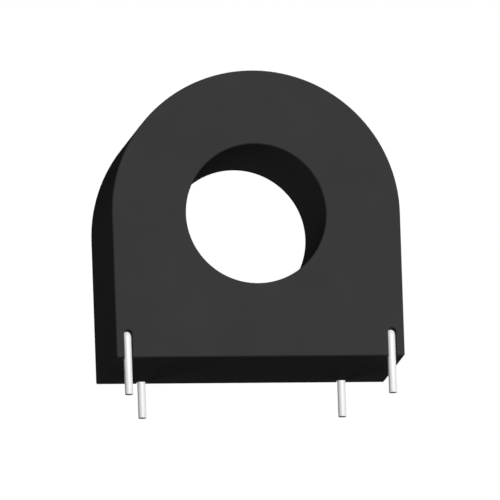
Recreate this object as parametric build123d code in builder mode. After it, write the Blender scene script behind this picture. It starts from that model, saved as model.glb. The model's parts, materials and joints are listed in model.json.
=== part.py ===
from build123d import *
import math
import os

# Board-mounted current transformer with a round window for the primary conductor.
# Millimetres. X runs along the front face to the right, Y from the front face to the back, Z up.
# The origin is the middle of the flat bottom, which sits on the circuit board.

# Housing
depth = 18.4
bore_diameter = 17.5
wall = 1.2
front_wall = 1.2
tube_wall = 1.0  # wall of the tube that lines the window
edge_break = 0.12  # cut that keeps the outer edges from being knife-sharp
corner_fillet = 0.8  # inner corners of the pocket

# Pins: round wire, bent once
pin_diameter = 1.0
pin_length = 4.5  # below the board face
pin_clearance = 0.03
pin_bend = 0.6  # radius of the bend, to the wire's middle
leg_height = 3.0  # level leg above the board face
front_inset = 1.0  # pin axis behind the front face
back_inset = 1.0  # pin axis before the back face
front_side_inset = 1.5  # front pin axis in from the side face
back_side_inset = 5.5  # back pin axis in from the side face
boss_wall = 1.2  # plastic round a pin's level leg
boss_length = 2.4  # front boss behind the front wall
terminal_length = 2.6  # leg that stands out of the front boss
support_length = 4.0  # level leg of a support pin
post_floor = 1.0  # plastic before the blind end of a support pin's hole

# Wound core, from the pocket's walls inwards
pad_height = 0.5  # pads on the front wall that carry the core
pad_width = 2.0
pad_length = 4.0
pad_count = 6
pocket_clearance = 0.3  # wrap to the pocket's round walls
wound_width = 6.45  # inner to outer round side, over the wrap
wound_length = 14.0  # along the window axis, over the wrap
wound_corner = 0.7  # corner cut of the wound section
wrap_thickness = 0.2
wrap_clearance = 0.05
wire_diameter = 0.8
wire_chamfer = 0.25  # the three flats that make a turn round
wire_sink = 0.25  # how deep a turn is bedded in the layer below it
turn_gap = 0.05  # least gap between turns, at the window
box_clearance = 0.05  # winding to core box
box_wall = 0.6
core_clearance = 0.1  # core to the box's round walls
lid_plug = 0.8  # how far the lid reaches into the cup
cushion_thickness = 0.6

# Leads, sleeves and solder
lead_angle = 30.0  # from straight down to where a lead leaves the winding
lead_rise = 0.85  # from the wrap to the lead's bend
lead_bend = 1.2
sleeve_thickness = 0.25
sleeve_start = 0.1  # wrap to the sleeve's first end
sleeve_gap = 0.35  # sleeve's last end to the solder
solder_thickness = 0.25
solder_length = 2.0
solder_edge = 0.15
solder_end = 0.3  # pin left bare beyond the solder
solder_clearance = 0.05

# Resin
resin_recess = 0.6  # from the back rim down to the resin

# Places along Y
front_y = -depth / 2
back_y = depth / 2
pocket_y = front_y + front_wall
boss_y = pocket_y + boss_length
terminal_y = boss_y + terminal_length
front_pin_y = front_y + front_inset
back_pin_y = back_y - back_inset
support_y = back_pin_y - support_length
resin_y = back_y - resin_recess
wrap_front = pocket_y + pad_height
wrap_back = wrap_front + wound_length
lead_y = terminal_y - solder_end - solder_length / 2

# Radii, from the window outwards
tube_radius = bore_diameter / 2 + tube_wall
wrap_inner = tube_radius + pocket_clearance
wrap_outer = wrap_inner + wound_width
arch_radius = wrap_outer + pocket_clearance + wall
pin_radius = pin_diameter / 2
channel_radius = pin_radius + pin_clearance
boss_radius = channel_radius + boss_wall
wire_radius = wire_diameter / 2
solder_radius = pin_radius + solder_thickness

# Places across and up: the flat bottom touches the circle of the round top
bore_height = arch_radius
front_pin_x = arch_radius - front_side_inset
back_pin_x = arch_radius - back_side_inset

# Depths of the wound core's layers, in from the outside of the wrap
wire_depth = wrap_thickness + wrap_clearance
base_depth = wire_depth + wire_diameter - wire_sink
wound_depth = wire_depth + wire_diameter
box_depth = wound_depth + box_clearance
cup_depth = box_depth + box_wall
core_depth = cup_depth + core_clearance

# Angles about the window axis, from +X towards straight down
first_turn = 90.0 + lead_angle
turns_arc = 360.0 - 2 * lead_angle
turn_width = math.degrees((wire_diameter + turn_gap) / (wrap_inner + wire_depth))
turn_count = int(turns_arc / turn_width) + 1
turn_step = turns_arc / (turn_count - 1)

window_axis = Axis((0, 0, bore_height), (0, 1, 0))
sides = {"left": -1, "right": 1}


def across(y):
    """Plane across the window axis at depth y, seen from the front: X right, Z up."""
    return Plane.XZ.offset(-y)


def section(angle=0.0):
    """Plane through the window axis: its x is the distance from the axis, its y is Y."""
    turn = math.radians(angle)
    return Plane(
        origin=(0, 0, bore_height),
        x_dir=(math.cos(turn), 0, -math.sin(turn)),
        z_dir=(math.sin(turn), 0, math.cos(turn)),
    )


def arch(inset=0.0):
    """Outline of the housing, drawn in by inset: flat bottom, straight sides, round top."""
    half = arch_radius - inset
    with BuildSketch() as outline:
        with BuildLine():
            Polyline((-half, bore_height), (-half, inset), (half, inset), (half, bore_height))
            CenterArc((0, bore_height), half, 0, 180)
        make_face()
    return outline.sketch


def layer(inwards, corner):
    """Section of the wound core, drawn in from the wrap's outside, with its corners cut."""
    low, high = wrap_inner + inwards, wrap_outer - inwards
    front, back = wrap_front + inwards, wrap_back - inwards
    with BuildSketch() as outline:
        with Locations(((low + high) / 2, (front + back) / 2)):
            Rectangle(high - low, back - front)
        chamfer(outline.vertices(), length=corner)
    return outline.sketch


def ring(inwards, front, back, mode=Mode.ADD):
    """Plain section of a ring in the wound core, from front to back along Y."""
    low, high = wrap_inner + inwards, wrap_outer - inwards
    with Locations(((low + high) / 2, (front + back) / 2)):
        Rectangle(high - low, back - front, mode=mode)


def bent_wire(x, inner_y, pin_y, bottom, radius):
    """Round wire along a pin's line: a level leg from inner_y, then down at pin_y."""
    with BuildPart() as wire:
        with BuildLine():
            FilletPolyline(
                (x, inner_y, leg_height),
                (x, pin_y, leg_height),
                (x, pin_y, bottom),
                radius=pin_bend,
            )
        with BuildSketch(Plane((x, inner_y, leg_height), z_dir=(0, pin_y - inner_y, 0))):
            Circle(radius)
        sweep()
    return wire.part


def pin_room(x, inner_y, pin_y, face_y):
    """Room for a bent pin: its straight hole, the groove in the face and the bend between them."""
    outwards = math.copysign(1, face_y)
    groove_y = pin_y - outwards * channel_radius
    below_board = -pin_diameter
    past_face = pin_diameter
    with BuildPart() as room:
        with BuildSketch(across(inner_y)):
            with Locations((x, leg_height)):
                Circle(channel_radius)
        extrude(amount=abs(face_y - inner_y) + past_face, dir=(0, outwards, 0))
        with BuildSketch(across(groove_y)):
            with Locations((x, leg_height)):
                Rectangle(
                    2 * channel_radius,
                    leg_height - below_board,
                    align=(Align.CENTER, Align.MAX),
                )
        extrude(amount=abs(face_y - groove_y) + past_face, dir=(0, outwards, 0))
        bend_radius = pin_radius + pin_clearance / 2
        add(bent_wire(x, inner_y + outwards * pin_clearance, pin_y, below_board / 2, bend_radius))
    return room.part


def leg_support(x):
    """Plastic round a level leg, joined to the floor below it."""
    with Locations((x, leg_height)):
        Circle(boss_radius)
        Rectangle(2 * boss_radius, leg_height, align=(Align.CENTER, Align.MAX))


def solder_pocket(side):
    """Hollow in the side wall that leaves room for the solder round a terminal pin's leg."""
    with BuildPart() as pocket:
        with BuildSketch(across(terminal_y + pin_clearance)):
            with Locations((side * front_pin_x, leg_height)):
                Circle(solder_radius + solder_clearance)
        extrude(amount=terminal_y + pin_clearance - boss_y)
    return pocket.part


rooms = [
    pin_room(side * front_pin_x, boss_y, front_pin_y, front_y) for side in sides.values()
] + [
    pin_room(side * back_pin_x, support_y - pin_clearance, back_pin_y, back_y)
    for side in sides.values()
]
solder_pockets = [solder_pocket(side) for side in sides.values()]
os.makedirs("parts", exist_ok=True)

# Housing: a moulded cup, open at the back, with a tube round the window
with BuildPart() as case:
    with BuildSketch(across(back_y)):
        add(arch())
        with Locations((0, bore_height)):
            Circle(bore_diameter / 2, mode=Mode.SUBTRACT)
    extrude(amount=depth)
    rims = case.faces().filter_by(Axis.Y).edges()
    lower_corners = case.edges().filter_by(Axis.Y).group_by(Axis.Z)[0]
    chamfer(rims + lower_corners, length=edge_break)

    # Pocket for the wound core
    with BuildSketch(across(back_y)):
        add(arch(wall))
        with Locations((0, bore_height)):
            Circle(tube_radius, mode=Mode.SUBTRACT)
    extrude(amount=depth - front_wall, mode=Mode.SUBTRACT)
    floor = case.faces().filter_by(Plane.XY).filter_by_position(Axis.Z, wall, wall)
    fillet(floor.edges().filter_by(Axis.Y), radius=corner_fillet)

    # Bosses in the lower front corners, which hold the terminal pins
    with BuildSketch(across(boss_y)):
        for side in sides.values():
            leg_support(side * front_pin_x)
            with Locations((side * arch_radius, leg_height)):
                Rectangle(2 * front_side_inset, 2 * boss_radius)
        add(arch(wall / 2), mode=Mode.INTERSECT)
    extrude(amount=boss_length + front_wall / 2)

    # Posts at the back, which hold the support pins
    with BuildSketch(across(back_y)):
        for side in sides.values():
            leg_support(side * back_pin_x)
        add(arch(wall / 2), mode=Mode.INTERSECT)
    extrude(amount=back_y - support_y + pin_clearance + post_floor)

    # Pads on the front wall, which the wound core stands on
    with BuildSketch(across(wrap_front)):
        with Locations((0, bore_height)):
            with PolarLocations((wrap_inner + wrap_outer) / 2, pad_count):
                Rectangle(pad_length, pad_width)
    extrude(amount=pad_height + front_wall / 2)

    # Pin holes with their grooves, and room for the solder
    add(rooms, mode=Mode.SUBTRACT)
    add(solder_pockets, mode=Mode.SUBTRACT)
case.part.label = "case"
export_step(case.part, "parts/case.step")

# Core: one long strip wound into a ring
with BuildPart() as core:
    with BuildSketch(section()):
        ring(
            core_depth,
            wrap_front + cup_depth,
            wrap_back - cup_depth - lid_plug - cushion_thickness,
        )
    revolve(axis=window_axis)
core.part.label = "core"
export_step(core.part, "parts/core.step")

# Cushion that keeps the core from rattling in its box
with BuildPart() as core_cushion:
    with BuildSketch(section()):
        ring(
            core_depth,
            wrap_back - cup_depth - lid_plug - cushion_thickness,
            wrap_back - cup_depth - lid_plug,
        )
    revolve(axis=window_axis)
core_cushion.part.label = "core_cushion"
export_step(core_cushion.part, "parts/core_cushion.step")

# Core box: an open ring-shaped cup
with BuildPart() as core_box:
    with BuildSketch(section()):
        ring(box_depth, wrap_front + box_depth, wrap_back - cup_depth)
        ring(cup_depth, wrap_front + cup_depth, wrap_back - cup_depth, mode=Mode.SUBTRACT)
    revolve(axis=window_axis)
core_box.part.label = "core_box"
export_step(core_box.part, "parts/core_box.step")

# Lid of the core box, with a plug that reaches into the cup
with BuildPart() as core_box_lid:
    with BuildSketch(section()):
        ring(box_depth, wrap_back - cup_depth, wrap_back - box_depth)
        ring(core_depth, wrap_back - cup_depth - lid_plug, wrap_back - cup_depth)
    revolve(axis=window_axis)
core_box_lid.part.label = "core_box_lid"
export_step(core_box_lid.part, "parts/core_box_lid.step")

# One turn of wire round the box: a frame with its outer edges taken off
with BuildPart() as turn:
    with BuildSketch(section()):
        add(layer(wire_depth, wound_corner))
        ring(wound_depth, wrap_front + wound_depth, wrap_back - wound_depth, mode=Mode.SUBTRACT)
    extrude(amount=wire_radius, both=True)
    outlines = [face.outer_wire() for face in turn.faces().filter_by(Axis.Z)]
    chamfer([edge for outline in outlines for edge in outline.edges()], length=wire_chamfer)

# Winding: the turns stand on their bedding and touch at the window, where they crowd
with BuildPart() as winding:
    with BuildSketch(section(first_turn - turn_step / 2)):
        ring(base_depth, wrap_front + base_depth, wrap_back - base_depth)
        ring(wound_depth, wrap_front + wound_depth, wrap_back - wound_depth, mode=Mode.SUBTRACT)
    revolve(axis=window_axis, revolution_arc=turns_arc + turn_step)
    add([turn.part.rotate(window_axis, first_turn + i * turn_step) for i in range(turn_count)])
winding.part.label = "winding"
export_step(winding.part, "parts/winding.step")

# Terminal pins, front
terminal_pins = {}
for name, side in sides.items():
    with BuildPart() as terminal_pin:
        add(bent_wire(side * front_pin_x, terminal_y, front_pin_y, -pin_length, pin_radius))
    terminal_pin.part.label = f"terminal_pin_{name}"
    export_step(terminal_pin.part, f"parts/terminal_pin_{name}.step")
    terminal_pins[name] = terminal_pin.part

# Support pins, back
support_pins = {}
for name, side in sides.items():
    with BuildPart() as support_pin:
        add(bent_wire(side * back_pin_x, support_y, back_pin_y, -pin_length, pin_radius))
    support_pin.part.label = f"support_pin_{name}"
    export_step(support_pin.part, f"parts/support_pin_{name}.step")
    support_pins[name] = support_pin.part

# Lead wires, their sleeves and their solder joints
lead_ends = {"left": "start", "right": "finish"}
lead_pieces = []
lead_holes = []
for name, side in sides.items():
    end = lead_ends[name]
    slant = math.radians(lead_angle)
    outwards = Vector(side * math.sin(slant), 0, -math.cos(slant))
    middle = Vector(0, lead_y, bore_height)
    exit_point = middle + outwards * (wrap_outer - wire_depth)
    corner = middle + outwards * (wrap_outer + lead_rise)
    joint = Vector(side * front_pin_x, lead_y, leg_height)
    along = (joint - corner).normalized()

    with BuildPart() as lead:
        with BuildLine():
            FilletPolyline(exit_point, corner, joint, radius=lead_bend)
        with BuildSketch(Plane(exit_point, z_dir=outwards)):
            Circle(wire_radius)
        sweep()
        add(terminal_pins[name], mode=Mode.SUBTRACT)
    lead.part.label = f"lead_{end}"
    export_step(lead.part, f"parts/lead_{end}.step")

    sleeve_first = middle + outwards * (wrap_outer + sleeve_start)
    sleeve_last = joint - along * (solder_radius + sleeve_gap)
    with BuildPart() as lead_sleeve:
        with BuildLine():
            FilletPolyline(sleeve_first, corner, sleeve_last, radius=lead_bend)
        with BuildSketch(Plane(sleeve_first, z_dir=outwards)):
            Circle(wire_radius + sleeve_thickness)
            Circle(wire_radius, mode=Mode.SUBTRACT)
        sweep()
    lead_sleeve.part.label = f"lead_sleeve_{end}"
    export_step(lead_sleeve.part, f"parts/lead_sleeve_{end}.step")

    with BuildPart() as solder:
        with BuildSketch(across(lead_y + solder_length / 2)):
            with Locations((side * front_pin_x, leg_height)):
                Circle(solder_radius)
        extrude(amount=solder_length)
        chamfer(solder.edges().filter_by(GeomType.CIRCLE), length=solder_edge)
        add([terminal_pins[name], lead.part], mode=Mode.SUBTRACT)
    solder.part.label = f"solder_{end}"
    export_step(solder.part, f"parts/solder_{end}.step")

    with BuildPart() as lead_hole:
        with BuildSketch(Plane(exit_point, z_dir=outwards)):
            Circle(wire_radius + wrap_clearance)
        extrude(amount=wire_depth + wrap_clearance)
    lead_holes.append(lead_hole.part)
    lead_pieces += [lead.part, lead_sleeve.part, solder.part]

# Tape wrap: a closed ring-shaped skin over the winding, with a hole for each lead
with BuildPart() as wound_form:
    with BuildSketch(section()):
        add(layer(0, wound_corner))
    revolve(axis=window_axis)
with BuildPart() as winding_wrap:
    add(wound_form.part)
    with BuildSketch(section()):
        add(layer(wrap_thickness, wound_corner))
    revolve(axis=window_axis, mode=Mode.SUBTRACT)
    add(lead_holes, mode=Mode.SUBTRACT)
winding_wrap.part.label = "winding_wrap"
export_step(winding_wrap.part, "parts/winding_wrap.step")

# Resin: fills what the other pieces leave of the pocket
with BuildPart() as potting:
    with BuildSketch(across(resin_y)):
        add(arch(wall))
        with Locations((0, bore_height)):
            Circle(tube_radius, mode=Mode.SUBTRACT)
    extrude(amount=resin_y - pocket_y)
    add(solder_pockets)
    add([case.part, wound_form.part, *rooms, *lead_pieces], mode=Mode.SUBTRACT)
    add([*terminal_pins.values(), *support_pins.values()], mode=Mode.SUBTRACT)
potting.part.label = "potting"
export_step(potting.part, "parts/potting.step")
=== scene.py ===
import json
import math

import bpy
from bpy.props import FloatProperty, FloatVectorProperty, IntProperty, PointerProperty
from bpy.types import Operator, Panel, PropertyGroup
from mathutils import Matrix, Vector

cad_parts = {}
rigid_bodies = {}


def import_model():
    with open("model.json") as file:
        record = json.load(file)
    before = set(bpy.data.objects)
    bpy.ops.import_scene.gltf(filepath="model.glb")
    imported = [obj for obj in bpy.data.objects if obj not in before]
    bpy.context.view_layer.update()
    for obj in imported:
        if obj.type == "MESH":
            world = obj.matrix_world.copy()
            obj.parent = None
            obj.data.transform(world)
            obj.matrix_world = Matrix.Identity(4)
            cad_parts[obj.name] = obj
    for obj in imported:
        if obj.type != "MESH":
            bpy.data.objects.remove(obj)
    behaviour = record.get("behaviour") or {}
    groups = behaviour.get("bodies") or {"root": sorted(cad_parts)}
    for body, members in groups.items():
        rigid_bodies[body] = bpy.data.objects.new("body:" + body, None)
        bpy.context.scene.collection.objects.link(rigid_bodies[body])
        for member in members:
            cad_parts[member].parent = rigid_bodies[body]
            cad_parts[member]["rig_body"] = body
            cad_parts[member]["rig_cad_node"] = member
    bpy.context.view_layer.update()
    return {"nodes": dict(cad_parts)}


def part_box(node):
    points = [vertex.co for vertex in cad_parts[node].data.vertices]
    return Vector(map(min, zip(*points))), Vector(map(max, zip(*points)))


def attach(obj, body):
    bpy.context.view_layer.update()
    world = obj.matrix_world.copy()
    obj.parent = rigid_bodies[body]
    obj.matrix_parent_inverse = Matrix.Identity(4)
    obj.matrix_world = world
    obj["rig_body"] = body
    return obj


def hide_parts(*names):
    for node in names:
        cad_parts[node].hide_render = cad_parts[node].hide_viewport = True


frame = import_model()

bl_info = {
    "name": "Current Transformer Looks",
    "version": (1, 0, 0),
    "blender": (4, 5, 0),
    "location": "View3D > Sidebar > Transformer",
    "description": "Finishes and studio for a board-mounted current transformer",
    "category": "Object",
}

NODES = frame["nodes"]
MM = 0.001

# Places in the part's own frame
WINDOW_HEIGHT = (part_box("core")[0].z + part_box("core")[1].z) / 2
FRONT_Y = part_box("case")[0].y
RESIN_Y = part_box("potting")[1].y
PIN_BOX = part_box("terminal_pin_left")
PIN_RADIUS = (PIN_BOX[1].x - PIN_BOX[0].x) / 2
PIN_END_Z = PIN_BOX[0].z
LEG_HEIGHT = PIN_BOX[1].z - PIN_RADIUS

# Between these heights a pin's cut end, its bare metal darkened with painted shade of the face
# turned down, gives way to its tinned side
CUT_AND_SHADE_TOP = PIN_END_Z + 0.01 * MM
TIN_BOTTOM = PIN_END_Z + 0.04 * MM

# Points of a mesh that are closer than this are joined
MERGE_DISTANCE = 0.0001 * MM

# A face looks along an axis when its normal has this much of it, and lies at a level
# when its middle is this close to it
FACING = 0.99
LEVEL_SLACK = 0.001 * MM

# A noise's middle, and the range that holds most of it
NOISE_MIDDLE = 0.5
NOISE_RANGE = (0.3, 0.7)

# Sockets for colours on a Mix node, which share their names with its other sockets
MIX_FIRST, MIX_SECOND, MIX_RESULT = 6, 7, 2

# The photograph's size, and the middle of the window's front edge in it, in pixels
IMAGE_SIZE = 500
WINDOW_PIXEL = (256.116, 213.324)


# Settings

class HousingSettings(PropertyGroup):
    """Moulded housing"""
    colour: FloatVectorProperty(
        name="Colour", description="Colour of the moulding compound", subtype="COLOR",
        size=3, min=0, max=1, default=(0.039, 0.039, 0.039))
    roughness: FloatProperty(
        name="Roughness", description="Roughness of the moulded skin", subtype="FACTOR",
        min=0, max=1, default=0.62)
    grain: FloatProperty(
        name="Grain", description="Size of the skin's fine grain", subtype="DISTANCE",
        unit="LENGTH", min=0, default=0.09 * MM)
    grain_depth: FloatProperty(
        name="Grain depth", description="Depth of the skin's fine grain", subtype="DISTANCE",
        unit="LENGTH", min=0, default=0.012 * MM)
    smooth_angle: FloatProperty(
        name="Smooth angle", description="Faces that meet at less than this are shaded smooth",
        subtype="ANGLE", default=math.radians(30))


class ResinSettings(PropertyGroup):
    """Resin poured in from the back"""
    colour: FloatVectorProperty(
        name="Colour", description="Colour of the cured resin", subtype="COLOR",
        size=3, min=0, max=1, default=(0.016, 0.016, 0.017))
    climb: FloatProperty(
        name="Climb", description="How far the resin climbs its walls", subtype="DISTANCE",
        unit="LENGTH", min=0, default=0.22 * MM)
    ripple: FloatProperty(
        name="Ripple", description="Size of the faint ripples left by curing", subtype="DISTANCE",
        unit="LENGTH", min=0, default=5 * MM)
    smooth_angle: FloatProperty(
        name="Smooth angle", description="Faces that meet at less than this are shaded smooth",
        subtype="ANGLE", default=math.radians(50))


class PinSettings(PropertyGroup):
    """Bent wire pins"""
    colour: FloatVectorProperty(
        name="Colour", description="Colour of the tinned wire", subtype="COLOR",
        size=3, min=0, max=1, default=(0.88, 0.88, 0.88))
    # The cut end's colour: bare metal, made darker as painted shade of the end that faces down
    cut_and_shade_colour: FloatVectorProperty(
        name="Cut end", description="Colour of the bare metal at the sheared end",
        subtype="COLOR", size=3, min=0, max=1, default=(0.38, 0.38, 0.38))
    roughness: FloatProperty(
        name="Roughness", description="Roughness of the tinning", subtype="FACTOR",
        min=0, max=1, default=0.38)
    metallic: FloatProperty(
        name="Metallic", description="Share of bare metal under the frosted tin",
        subtype="FACTOR", min=0, max=1, default=0.10)
    bend_radius: FloatProperty(
        name="Bend radius", description="Radius of the bend, to the wire's middle",
        subtype="DISTANCE", unit="LENGTH", min=0, default=0.6 * MM)
    end_round: FloatProperty(
        name="End rounding", description="Rounding of the cut end", subtype="DISTANCE",
        unit="LENGTH", min=0, default=0.04 * MM)
    sides: IntProperty(
        name="Sides", description="Sides of the round wire", min=8, max=96, default=48)
    bend_steps: IntProperty(
        name="Bend steps", description="Steps along the bend", min=2, max=48, default=14)
    smooth_angle: FloatProperty(
        name="Smooth angle", description="Faces that meet at less than this are shaded smooth",
        subtype="ANGLE", default=math.radians(35))


class CoilSettings(PropertyGroup):
    """Wound core, its box, leads and joints"""
    copper: FloatVectorProperty(
        name="Copper", description="Colour of the enamelled wire", subtype="COLOR",
        size=3, min=0, max=1, default=(0.58, 0.20, 0.06))
    strip: FloatVectorProperty(
        name="Strip", description="Colour of the core's strip", subtype="COLOR",
        size=3, min=0, max=1, default=(0.42, 0.43, 0.45))
    box_colour: FloatVectorProperty(
        name="Core box", description="Colour of the core box", subtype="COLOR",
        size=3, min=0, max=1, default=(0.70, 0.68, 0.60))
    cushion: FloatVectorProperty(
        name="Cushion", description="Colour of the foam cushion", subtype="COLOR",
        size=3, min=0, max=1, default=(0.10, 0.10, 0.105))
    tape: FloatVectorProperty(
        name="Tape", description="Colour of the tape wrap", subtype="COLOR",
        size=3, min=0, max=1, default=(0.75, 0.48, 0.06))
    sleeve: FloatVectorProperty(
        name="Sleeve", description="Colour of the leads' sleeves", subtype="COLOR",
        size=3, min=0, max=1, default=(0.75, 0.75, 0.72))
    solder: FloatVectorProperty(
        name="Solder", description="Colour of the solder where it is bright", subtype="COLOR",
        size=3, min=0, max=1, default=(0.52, 0.53, 0.54))
    solder_frost: FloatVectorProperty(
        name="Solder frost", description="Colour of the solder where it is frosted",
        subtype="COLOR", size=3, min=0, max=1, default=(0.72, 0.73, 0.74))
    strip_pitch: FloatProperty(
        name="Strip pitch", description="Thickness of one layer of the core's strip",
        subtype="DISTANCE", unit="LENGTH", min=0, default=0.12 * MM)
    tape_turns: IntProperty(
        name="Tape turns", description="Overlapping turns of tape round the ring",
        min=4, max=120, default=34)


class StudioSettings(PropertyGroup):
    """Floor, lamps and camera"""
    azimuth: FloatProperty(
        name="Azimuth", description="Camera's place round the part; 0 looks along +Y",
        subtype="ANGLE", default=math.radians(-8.45))
    elevation: FloatProperty(
        name="Elevation", description="Camera's height above the horizon",
        subtype="ANGLE", default=math.radians(-10.22))
    roll: FloatProperty(
        name="Roll", description="Turn of the camera about its own line of sight",
        subtype="ANGLE", default=math.radians(-1.95))
    view_height: FloatProperty(
        name="View height", description="Height of what the camera takes in",
        subtype="DISTANCE", unit="LENGTH", min=0, default=61.86 * MM)
    camera_distance: FloatProperty(
        name="Camera distance", description="Camera to the part", subtype="DISTANCE",
        unit="LENGTH", min=0, default=0.4)
    key: FloatProperty(
        name="Key", description="Strength of the front lamp", min=0, default=3.51)
    top: FloatProperty(
        name="Top", description="Strength of the lamp above the part", min=0, default=2.7)
    left_fill: FloatProperty(
        name="Left fill", description="Strength of the low lamp behind the part on its left",
        min=0, default=1.6)
    right_fill: FloatProperty(
        name="Right fill", description="Strength of the low lamp behind the part on its right",
        min=0, default=0.64)
    fill_spread: FloatProperty(
        name="Fill spread", description="How soft the two low lamps are", subtype="ANGLE",
        default=math.radians(32))
    ambient: FloatProperty(
        name="Ambient", description="Even light from all round", min=0, default=0.04)
    lamp_spread: FloatProperty(
        name="Lamp spread", description="How soft the front lamp and the one above are",
        subtype="ANGLE", default=math.radians(18))
    floor_colour: FloatVectorProperty(
        name="Floor", description="Colour of the floor", subtype="COLOR",
        size=3, min=0, max=1, default=(0.92, 0.92, 0.92))
    floor_bounce: FloatProperty(
        name="Floor bounce", description="Share of its light that the floor gives to the part",
        subtype="FACTOR", min=0, max=1, default=0.08)
    floor_size: FloatProperty(
        name="Floor size", description="Length of the floor's sides", subtype="DISTANCE",
        unit="LENGTH", min=0, default=6.0)
    floor_gap: FloatProperty(
        name="Floor gap", description="Floor below the pins' ends", subtype="DISTANCE",
        unit="LENGTH", min=0, default=0.02 * MM)


SETTINGS = {
    "transformer_housing": HousingSettings,
    "transformer_resin": ResinSettings,
    "transformer_pins": PinSettings,
    "transformer_coil": CoilSettings,
    "transformer_studio": StudioSettings,
}


# Shader building

class Value:
    """A number on a socket, whose sums add their Math nodes."""

    def __init__(self, finish, socket):
        self.finish = finish
        self.socket = socket

    def __add__(self, other):
        return self.finish.math("ADD", self, other)

    def __radd__(self, other):
        return self.finish.math("ADD", other, self)

    def __sub__(self, other):
        return self.finish.math("SUBTRACT", self, other)

    def __rsub__(self, other):
        return self.finish.math("SUBTRACT", other, self)

    def __mul__(self, other):
        return self.finish.math("MULTIPLY", self, other)

    def __rmul__(self, other):
        return self.finish.math("MULTIPLY", other, self)

    def __truediv__(self, other):
        return self.finish.math("DIVIDE", self, other)

    def __rtruediv__(self, other):
        return self.finish.math("DIVIDE", other, self)

    def fraction(self):
        """What is left after the whole number is taken off."""
        return self.finish.math("FRACT", self)

    def step(self, low, high):
        """0 below low, 1 above high and an even rise in between."""
        node = self.finish.node("ShaderNodeMapRange", {"clamp": True}, {
            "Value": self, "From Min": low, "From Max": high, "To Min": 0.0, "To Max": 1.0})
        return Value(self.finish, node.outputs["Result"])


class Finish:
    """A node tree under construction, on the part's own Object coordinates."""

    def __init__(self, tree):
        self.tree = tree
        self.tree.nodes.clear()

    def node(self, kind, settings=None, inputs=None):
        """A node with its settings, and a value or a link for each socket named."""
        node = self.tree.nodes.new(kind)
        for name, value in (settings or {}).items():
            setattr(node, name, value)
        for name, value in (inputs or {}).items():
            if isinstance(value, Value):
                value = value.socket
            if isinstance(value, bpy.types.NodeSocket):
                self.tree.links.new(value, node.inputs[name])
            else:
                node.inputs[name].default_value = value
        return node

    def math(self, operation, *values):
        """A Math node on these values, in their order."""
        node = self.node("ShaderNodeMath", {"operation": operation}, dict(enumerate(values)))
        return Value(self, node.outputs[0])

    def place(self, centre=(0, 0, 0), scale=(1, 1, 1)):
        """Object coordinates, measured from centre and stretched by scale."""
        coordinates = self.node("ShaderNodeTexCoord").outputs["Object"]
        moved = self.node("ShaderNodeVectorMath", {"operation": "SUBTRACT"}, {
            0: coordinates, 1: centre})
        return self.node("ShaderNodeVectorMath", {"operation": "MULTIPLY"}, {
            0: moved.outputs[0], 1: scale}).outputs[0]

    def noise(self, size, detail, place=None):
        """Soft noise, 0 to 1, with features of about this size in metres."""
        node = self.node("ShaderNodeTexNoise", {"noise_dimensions": "3D"}, {
            "Vector": place or self.place(), "Scale": 1 / size, "Detail": detail,
            "Roughness": 0.55})
        return Value(self, node.outputs["Fac"])

    def cells(self, size):
        """Distance to the nearest of scattered points about this far apart."""
        node = self.node("ShaderNodeTexVoronoi", {"voronoi_dimensions": "3D"}, {
            "Vector": self.place(), "Scale": 1 / size})
        return Value(self, node.outputs["Distance"])

    def height(self):
        """Height above the board."""
        node = self.node("ShaderNodeSeparateXYZ", inputs={"Vector": self.place()})
        return Value(self, node.outputs["Z"])

    def radius(self):
        """Distance from the window's axis."""
        place = self.place((0, 0, WINDOW_HEIGHT), (1, 0, 1))
        node = self.node("ShaderNodeVectorMath", {"operation": "LENGTH"}, {0: place})
        return Value(self, node.outputs["Value"])

    def angle(self):
        """Angle about the window's axis, as a share of a full turn."""
        place = self.place((0, 0, WINDOW_HEIGHT))
        axes = self.node("ShaderNodeSeparateXYZ", inputs={"Vector": place}).outputs
        return self.math("ARCTAN2", axes["X"], axes["Z"]) / (2 * math.pi) + 0.5

    def mix(self, share, first, second):
        """Colour between first and second."""
        node = self.node("ShaderNodeMix", {"data_type": "RGBA"}, {
            "Factor": share, MIX_FIRST: opaque(first), MIX_SECOND: opaque(second)})
        return node.outputs[MIX_RESULT]

    def blend(self, share, first, second):
        """Shader between first and second, which are the nodes that make them."""
        node = self.node("ShaderNodeMixShader", inputs={
            0: share, 1: first.outputs[0], 2: second.outputs[0]})
        return node.outputs[0]

    def bump(self, height, depth, strength, below=None):
        """Normal for a height between 0 and 1 that stands for a depth in metres."""
        inputs = {"Height": height, "Distance": depth, "Strength": strength}
        if below is not None:
            inputs["Normal"] = below
        return self.node("ShaderNodeBump", inputs=inputs).outputs["Normal"]

    def surface(self, inputs):
        """The finished surface."""
        shader = self.node("ShaderNodeBsdfPrincipled", inputs=inputs)
        self.node("ShaderNodeOutputMaterial", inputs={"Surface": shader.outputs["BSDF"]})


def opaque(colour):
    """A colour with its alpha, or a socket as it is."""
    if isinstance(colour, bpy.types.NodeSocket):
        return colour
    return (*colour, 1.0)


def shade(colour, factor):
    """The colour made lighter or darker."""
    return tuple(min(1.0, channel * factor) for channel in colour)


def new_finish(name):
    """A new material and the builder for its nodes."""
    material = bpy.data.materials.new(name)
    material.use_nodes = True
    return material, Finish(material.node_tree)


def moulded_plastic(name, colour, roughness, grain, depth):
    """Moulded plastic: fine grain in the skin and faint clouding in the colour."""
    material, finish = new_finish(name)
    clouds = finish.noise(size=6 * MM, detail=2.0).step(*NOISE_RANGE)
    skin = finish.noise(size=grain, detail=4.0)
    finish.surface({
        "Base Color": finish.mix(clouds, shade(colour, 0.96), shade(colour, 1.04)),
        "Roughness": roughness + 0.1 * (skin - NOISE_MIDDLE),
        "Specular IOR Level": 0.0,
        "Normal": finish.bump(skin, depth=depth, strength=0.5),
    })
    return material


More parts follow.
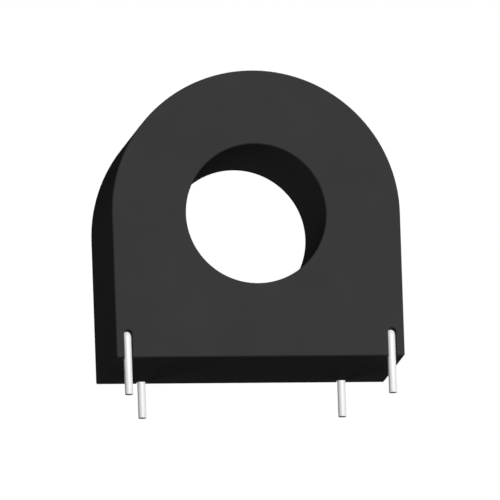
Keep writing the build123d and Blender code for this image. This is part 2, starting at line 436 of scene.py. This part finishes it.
def poured_resin(name, colour, ripple):
    """Cured resin: level and glossy, with faint ripples and a few pin-sized pits."""
    material, finish = new_finish(name)
    waves = finish.noise(size=ripple, detail=1.0)
    pits = finish.cells(size=2.4 * MM).step(0.0, 0.045)
    dust = finish.noise(size=0.4 * MM, detail=3.0)
    level = finish.bump(waves, depth=0.05 * MM, strength=0.6)
    finish.surface({
        "Base Color": finish.mix(dust.step(0.35, 0.75), colour, shade(colour, 1.5)),
        "Roughness": 0.24 + 0.14 * dust,
        "Specular IOR Level": 0.35,
        "Normal": finish.bump(pits, depth=0.04 * MM, strength=0.8, below=level),
    })
    return material


def tinned_wire(name, colour, cut_and_shade_colour, roughness, metallic):
    """Tinned wire: a pale, frosted coat, faintly drawn and uneven, and a bare, sheared end,
    darkened with painted shade where it faces down.
    """
    material, finish = new_finish(name)
    along_wire = finish.place(scale=(1, 1, 0.04))
    lines = finish.noise(size=0.06 * MM, detail=2.0, place=along_wire)
    dip = finish.noise(size=0.9 * MM, detail=2.0)
    uneven = finish.bump(dip, depth=0.01 * MM, strength=0.4)
    tin = finish.mix(dip.step(*NOISE_RANGE), shade(colour, 0.97), shade(colour, 1.02))
    # The end face gets the cut colour, bare metal with painted shade; the sides get the tin
    tin_over_end_shade = finish.height().step(CUT_AND_SHADE_TOP, TIN_BOTTOM)
    finish.surface({
        "Base Color": finish.mix(tin_over_end_shade, cut_and_shade_colour, tin),
        "Metallic": metallic,
        "Roughness": roughness + 0.1 * (lines - NOISE_MIDDLE),
        "Specular IOR Level": 0.0,
        "Normal": finish.bump(lines, depth=0.002 * MM, strength=0.4, below=uneven),
    })
    return material


def enamelled_wire(name, colour):
    """Copper wire under clear enamel."""
    material, finish = new_finish(name)
    tint = finish.noise(size=1.5 * MM, detail=2.0).step(*NOISE_RANGE)
    fine = finish.noise(size=0.08 * MM, detail=2.0)
    finish.surface({
        "Base Color": finish.mix(tint, shade(colour, 0.8), shade(colour, 1.15)),
        "Metallic": 0.85,
        "Roughness": 0.26 + 0.1 * fine,
        "Coat Weight": 0.5,
        "Normal": finish.bump(fine, depth=0.003 * MM, strength=0.4),
    })
    return material


def wound_strip(name, colour, pitch):
    """Strip wound on itself: rings about the window's axis."""
    material, finish = new_finish(name)
    layer = (finish.radius() / pitch).fraction()
    edge = layer.step(0.0, 0.3)
    tint = finish.noise(size=2 * MM, detail=2.0)
    finish.surface({
        "Base Color": finish.mix(edge * (0.7 + 0.3 * tint), shade(colour, 0.45), colour),
        "Metallic": 0.9,
        "Roughness": 0.32 + 0.15 * tint,
        "Normal": finish.bump(edge, depth=0.02 * MM, strength=0.6),
    })
    return material


def wrapped_tape(name, colour, turns):
    """Film wound round the ring, each turn lapped over the last."""
    material, finish = new_finish(name)
    lap = (finish.angle() * turns).fraction()
    edge = lap.step(0.0, 0.05)
    crease = finish.noise(size=0.7 * MM, detail=3.0)
    finish.surface({
        "Base Color": finish.mix(lap * (0.6 + 0.4 * crease), shade(colour, 0.78), colour),
        "Roughness": 0.24 + 0.16 * crease,
        "Specular IOR Level": 0.5,
        "Normal": finish.bump(edge * (0.9 + 0.1 * crease), depth=0.05 * MM, strength=0.7),
    })
    return material


def foam_rubber(name, colour):
    """Foam rubber with open cells, and painted shade in the cells."""
    material, finish = new_finish(name)
    pores_and_pore_shade = finish.cells(size=0.3 * MM)
    finish.surface({
        # Painted shade: the cells' hollows are made darker
        "Base Color": finish.mix(pores_and_pore_shade.step(0.1, 0.6), shade(colour, 0.55), shade(colour, 1.1)),
        "Roughness": 0.75 + 0.2 * pores_and_pore_shade,
        "Normal": finish.bump(pores_and_pore_shade, depth=0.08 * MM, strength=0.8),
    })
    return material


def solder_joint(name, bright, frosted):
    """Solder: bright, lumpy where it flowed, and frosted in places."""
    material, finish = new_finish(name)
    frost = finish.noise(size=0.12 * MM, detail=3.0)
    lumps = finish.noise(size=0.6 * MM, detail=2.0)
    flow = finish.bump(lumps, depth=0.06 * MM, strength=0.7)
    finish.surface({
        "Base Color": finish.mix(frost.step(*NOISE_RANGE), bright, frosted),
        "Metallic": 1.0,
        "Roughness": 0.2 + 0.2 * frost,
        "Normal": finish.bump(frost, depth=0.005 * MM, strength=0.5, below=flow),
    })
    return material


# Modelling helpers

def only(piece):
    """Makes this the one selected and active object."""
    bpy.ops.object.select_all(action="DESELECT")
    piece.select_set(True)
    bpy.context.view_layer.objects.active = piece


def dress(piece, material):
    """Gives the piece one material all over."""
    piece.data.materials.clear()
    piece.data.materials.append(material)


def select_faces(piece, wanted):
    """Selects the faces that pass the test, in object mode, and opens edit mode on them."""
    for vertex in piece.data.vertices:
        vertex.select = False
    for edge in piece.data.edges:
        edge.select = False
    for face in piece.data.polygons:
        face.select = wanted(face)
    if not any(face.select for face in piece.data.polygons):
        raise RuntimeError(f"{piece.name} has no face that passes the test")
    bpy.ops.object.mode_set(mode="EDIT")
    bpy.ops.mesh.select_mode(type="FACE")


def merged_copy(node, name):
    """A copy of a CAD node whose loose triangles are joined, to model on."""
    piece = NODES[node].copy()
    piece.data = NODES[node].data.copy()
    piece.name = piece.data.name = name
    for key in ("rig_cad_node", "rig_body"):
        del piece[key]
    piece.parent = None
    bpy.context.scene.collection.objects.link(piece)
    only(piece)
    bpy.ops.mesh.customdata_custom_splitnormals_clear()
    bpy.ops.object.mode_set(mode="EDIT")
    bpy.ops.mesh.select_all(action="SELECT")
    bpy.ops.mesh.remove_doubles(threshold=MERGE_DISTANCE)
    bpy.ops.object.mode_set(mode="OBJECT")
    return piece


def settle(piece, material, slot, *nodes):
    """Finishes a new piece: its place goes into the mesh, and it stands for its CAD nodes."""
    only(piece)
    bpy.ops.object.transform_apply(location=True, rotation=True, scale=True)
    dress(piece, material)
    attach(piece, "root")
    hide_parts(*nodes)


# Pieces

class TRANSFORMER_OT_housing(Operator):
    """Gives the moulded housing its smooth faces and its skin"""
    bl_idname = "transformer.housing"
    bl_label = "Housing"

    def execute(self, context):
        settings = context.scene.transformer_housing
        housing = merged_copy("case", "housing")
        bpy.ops.object.shade_smooth_by_angle(angle=settings.smooth_angle)
        skin = moulded_plastic(
            "Moulded_housing", settings.colour, settings.roughness, settings.grain,
            settings.grain_depth)
        settle(housing, skin, "housing", "case")
        return {"FINISHED"}


class TRANSFORMER_OT_resin(Operator):
    """Gives the resin's open face the climb against its walls, and its finish"""
    bl_idname = "transformer.resin"
    bl_label = "Resin"

    # Each step in from the walls: its width, and its drop as a share of the climb
    INSETS = ((0.06 * MM, 0.34), (0.10 * MM, 0.30), (0.16 * MM, 0.22), (0.26 * MM, 0.14))

    def execute(self, context):
        settings = context.scene.transformer_resin
        resin = merged_copy("potting", "resin_fill")
        level = RESIN_Y - LEVEL_SLACK
        select_faces(resin, lambda face: face.normal.y > FACING and face.center.y > level)
        bpy.ops.transform.translate(value=(0, settings.climb, 0))
        for width, drop in self.INSETS:
            bpy.ops.mesh.inset(
                thickness=width, depth=-drop * settings.climb, use_even_offset=True)
        bpy.ops.object.mode_set(mode="OBJECT")
        bpy.ops.object.shade_smooth_by_angle(angle=settings.smooth_angle)
        finish = poured_resin("Poured_resin", settings.colour, settings.ripple)
        settle(resin, finish, "resin", "potting")
        return {"FINISHED"}


class TRANSFORMER_OT_pins(Operator):
    """Makes the four bent wire pins"""
    bl_idname = "transformer.pins"
    bl_label = "Pins"

    def pin(self, node, settings):
        """One pin: a round blank, drawn out, bent down and drawn on to its rounded end."""
        low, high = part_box(node)
        x = (low.x + high.x) / 2
        outwards = 1 if low.y + high.y > 0 else -1
        inner_y = low.y if outwards > 0 else high.y
        pin_y = (high.y if outwards > 0 else low.y) - outwards * PIN_RADIUS
        bend_y = pin_y - outwards * settings.bend_radius
        bend_z = LEG_HEIGHT - settings.bend_radius

        bpy.ops.object.select_all(action="DESELECT")
        bpy.ops.mesh.primitive_circle_add(
            vertices=settings.sides, radius=PIN_RADIUS, fill_type="NGON",
            location=(x, inner_y, LEG_HEIGHT), rotation=(math.pi / 2, 0, 0))
        piece = bpy.context.object
        piece.name = piece.data.name = node.replace("pin", "wire_pin")
        bpy.ops.object.transform_apply(location=True, rotation=True, scale=True)
        bpy.ops.object.mode_set(mode="EDIT")
        bpy.ops.mesh.select_mode(type="FACE")
        bpy.ops.mesh.select_all(action="SELECT")
        bpy.ops.mesh.extrude_region_move(
            TRANSFORM_OT_translate={"value": (0, bend_y - inner_y, 0)})
        bpy.ops.mesh.spin(
            steps=settings.bend_steps, angle=outwards * math.pi / 2,
            center=(x, bend_y, bend_z), axis=(1, 0, 0))
        bpy.ops.mesh.extrude_region_move(
            TRANSFORM_OT_translate={"value": (0, 0, PIN_END_Z - bend_z)})
        bpy.ops.mesh.select_mode(type="EDGE")
        bpy.ops.mesh.region_to_loop()
        bpy.ops.mesh.bevel(offset=settings.end_round, segments=3, affect="EDGES")
        bpy.ops.mesh.select_all(action="SELECT")
        bpy.ops.mesh.remove_doubles(threshold=MERGE_DISTANCE)
        bpy.ops.mesh.normals_make_consistent(inside=False)
        bpy.ops.object.mode_set(mode="OBJECT")
        bpy.ops.object.shade_smooth_by_angle(angle=settings.smooth_angle)
        return piece

    def execute(self, context):
        settings = context.scene.transformer_pins
        material = tinned_wire(
            "Tinned_wire", settings.colour, settings.cut_and_shade_colour, settings.roughness,
            settings.metallic)
        for node in sorted(name for name in NODES if "_pin_" in name):
            settle(self.pin(node, settings), material, "tinned_pin", node)
        return {"FINISHED"}


class TRANSFORMER_OT_wound_core(Operator):
    """Finishes the core, its box and cushion, the winding and the tape round it"""
    bl_idname = "transformer.wound_core"
    bl_label = "Wound core"

    def execute(self, context):
        settings = context.scene.transformer_coil
        box = moulded_plastic(
            "Core_box", settings.box_colour, roughness=0.5, grain=0.15 * MM, depth=0.01 * MM)
        dress(NODES["core_box"], box)
        dress(NODES["core_box_lid"], box)
        dress(NODES["core"], wound_strip("Wound_strip", settings.strip, settings.strip_pitch))
        dress(NODES["core_cushion"], foam_rubber("Foam_cushion", settings.cushion))
        dress(NODES["winding"], enamelled_wire("Enamelled_winding", settings.copper))
        tape = wrapped_tape("Wrapped_tape", settings.tape, settings.tape_turns)
        dress(NODES["winding_wrap"], tape)
        return {"FINISHED"}


class TRANSFORMER_OT_leads(Operator):
    """Finishes the leads, their sleeves and the solder joints"""
    bl_idname = "transformer.leads"
    bl_label = "Leads"

    def execute(self, context):
        settings = context.scene.transformer_coil
        copper = enamelled_wire("Enamelled_lead", settings.copper)
        sleeve = moulded_plastic(
            "Lead_sleeve", settings.sleeve, roughness=0.6, grain=0.1 * MM, depth=0.008 * MM)
        solder = solder_joint("Solder_joint", settings.solder, settings.solder_frost)
        for end in ("start", "finish"):
            dress(NODES[f"lead_{end}"], copper)
            dress(NODES[f"lead_sleeve_{end}"], sleeve)
            dress(NODES[f"solder_{end}"], solder)
        return {"FINISHED"}


# Studio

class TRANSFORMER_OT_studio(Operator):
    """Makes the floor, the lamps, the even light and the camera"""
    bl_idname = "transformer.studio"
    bl_label = "Studio"

    # The way from the part to each lamp
    KEY_FROM = (0.207, -0.917, 0.342)
    TOP_FROM = (0.45, 0.30, 0.84)
    LEFT_FROM = (-0.31, 0.93, -0.19)
    RIGHT_FROM = (0.40, 0.855, -0.33)

    def floor(self, settings):
        """A pale floor, seen from above only, that keeps the part's shadow."""
        bpy.ops.object.select_all(action="DESELECT")
        bpy.ops.mesh.primitive_plane_add(
            size=settings.floor_size, location=(0, 0, PIN_END_Z - settings.floor_gap))
        floor = bpy.context.object
        floor.name = "floor"
        bpy.ops.object.transform_apply(location=True, rotation=True, scale=True)
        material, finish = new_finish("Pale_floor")
        path = finish.node("ShaderNodeLightPath").outputs
        geometry = finish.node("ShaderNodeNewGeometry").outputs
        dim = shade(settings.floor_colour, settings.floor_bounce)
        colour = finish.mix(path["Is Camera Ray"], dim, settings.floor_colour)
        pale = finish.node("ShaderNodeBsdfDiffuse", inputs={"Color": colour})
        clear = finish.node("ShaderNodeBsdfTransparent")
        both = finish.blend(geometry["Backfacing"], pale, clear)
        finish.node("ShaderNodeOutputMaterial", inputs={"Surface": both})
        dress(floor, material)
        floor.visible_shadow = False

    def lamp(self, name, strength, spread, way, shadow=True):
        """A lamp far away, that way from the part, with or without shadows."""
        direction = Vector(way)
        bpy.ops.object.light_add(type="SUN", location=direction)
        lamp = bpy.context.object
        lamp.name = lamp.data.name = name
        lamp.rotation_euler = direction.to_track_quat("Z", "Y").to_euler()
        lamp.data.energy = strength
        lamp.data.angle = spread
        lamp.data.use_shadow = shadow

    def even_light(self, scene, settings):
        """Even light from all round, which shows as white."""
        world = bpy.data.worlds.new("White_studio")
        scene.world = world
        world.use_nodes = True
        finish = Finish(world.node_tree)
        path = finish.node("ShaderNodeLightPath").outputs
        mirrored = finish.math("MAXIMUM", path["Is Glossy Ray"], path["Is Transmission Ray"])
        seen = finish.math("MAXIMUM", path["Is Camera Ray"], mirrored)
        light = finish.node("ShaderNodeBackground", inputs={
            "Color": (1, 1, 1, 1), "Strength": settings.ambient})
        white = finish.node("ShaderNodeBackground", inputs={
            "Color": (1, 1, 1, 1), "Strength": 1.0})
        both = finish.blend(seen, light, white)
        finish.node("ShaderNodeOutputWorld", inputs={"Surface": both})

    def camera(self, scene, settings):
        """A camera without perspective, at the photograph's angle, turn and framing."""
        azimuth, elevation = settings.azimuth, settings.elevation
        back = Vector((
            math.sin(azimuth) * math.cos(elevation),
            -math.cos(azimuth) * math.cos(elevation),
            math.sin(elevation)))
        level = (-back).to_track_quat("-Z", "Y").to_matrix()
        turn = level @ Matrix.Rotation(settings.roll, 3, "Z")
        right, up = turn.col[0], turn.col[1]
        pixel = settings.view_height / IMAGE_SIZE
        middle = IMAGE_SIZE / 2
        target = (
            Vector((0, FRONT_Y, WINDOW_HEIGHT))
            - right * (WINDOW_PIXEL[0] - middle) * pixel
            - up * (middle - WINDOW_PIXEL[1]) * pixel)
        bpy.ops.object.camera_add()
        camera = bpy.context.object
        camera.name = "photo_camera"
        camera.data.type = "ORTHO"
        camera.data.ortho_scale = settings.view_height
        camera.data.clip_start = 0.01
        camera.data.clip_end = 20.0
        camera.location = target + back * settings.camera_distance
        camera.rotation_euler = turn.to_euler()
        scene.camera = camera

    def execute(self, context):
        settings = context.scene.transformer_studio
        self.floor(settings)
        self.lamp("key_lamp", settings.key, settings.lamp_spread, self.KEY_FROM, shadow=False)
        self.lamp("top_lamp", settings.top, settings.lamp_spread, self.TOP_FROM)
        self.lamp("left_lamp", settings.left_fill, settings.fill_spread, self.LEFT_FROM)
        self.lamp("right_lamp", settings.right_fill, settings.fill_spread, self.RIGHT_FROM)
        self.even_light(context.scene, settings)
        self.camera(context.scene, settings)
        context.scene.view_settings.view_transform = "Standard"
        return {"FINISHED"}


STEPS = (
    TRANSFORMER_OT_housing,
    TRANSFORMER_OT_resin,
    TRANSFORMER_OT_pins,
    TRANSFORMER_OT_wound_core,
    TRANSFORMER_OT_leads,
    TRANSFORMER_OT_studio,
)


class TRANSFORMER_PT_looks(Panel):
    """Sizes, colours and steps of the current transformer's looks"""
    bl_idname = "TRANSFORMER_PT_looks"
    bl_label = "Current transformer"
    bl_space_type = "VIEW_3D"
    bl_region_type = "UI"
    bl_category = "Transformer"

    def draw(self, context):
        for name, group in SETTINGS.items():
            box = self.layout.box()
            box.label(text=group.__doc__)
            settings = getattr(context.scene, name)
            for setting in group.__annotations__:
                box.prop(settings, setting)
        column = self.layout.column()
        for step in STEPS:
            column.operator(step.bl_idname)


CLASSES = (*SETTINGS.values(), *STEPS, TRANSFORMER_PT_looks)


def register():
    for item in CLASSES:
        bpy.utils.register_class(item)
    for name, group in SETTINGS.items():
        setattr(bpy.types.Scene, name, PointerProperty(type=group))


def unregister():
    for name in SETTINGS:
        delattr(bpy.types.Scene, name)
    for item in reversed(CLASSES):
        bpy.utils.unregister_class(item)


def main():
    register()
    bpy.ops.transformer.housing()
    bpy.ops.transformer.resin()
    bpy.ops.transformer.pins()
    bpy.ops.transformer.wound_core()
    bpy.ops.transformer.leads()
    bpy.ops.transformer.studio()


if __name__ == "__main__":
    main()
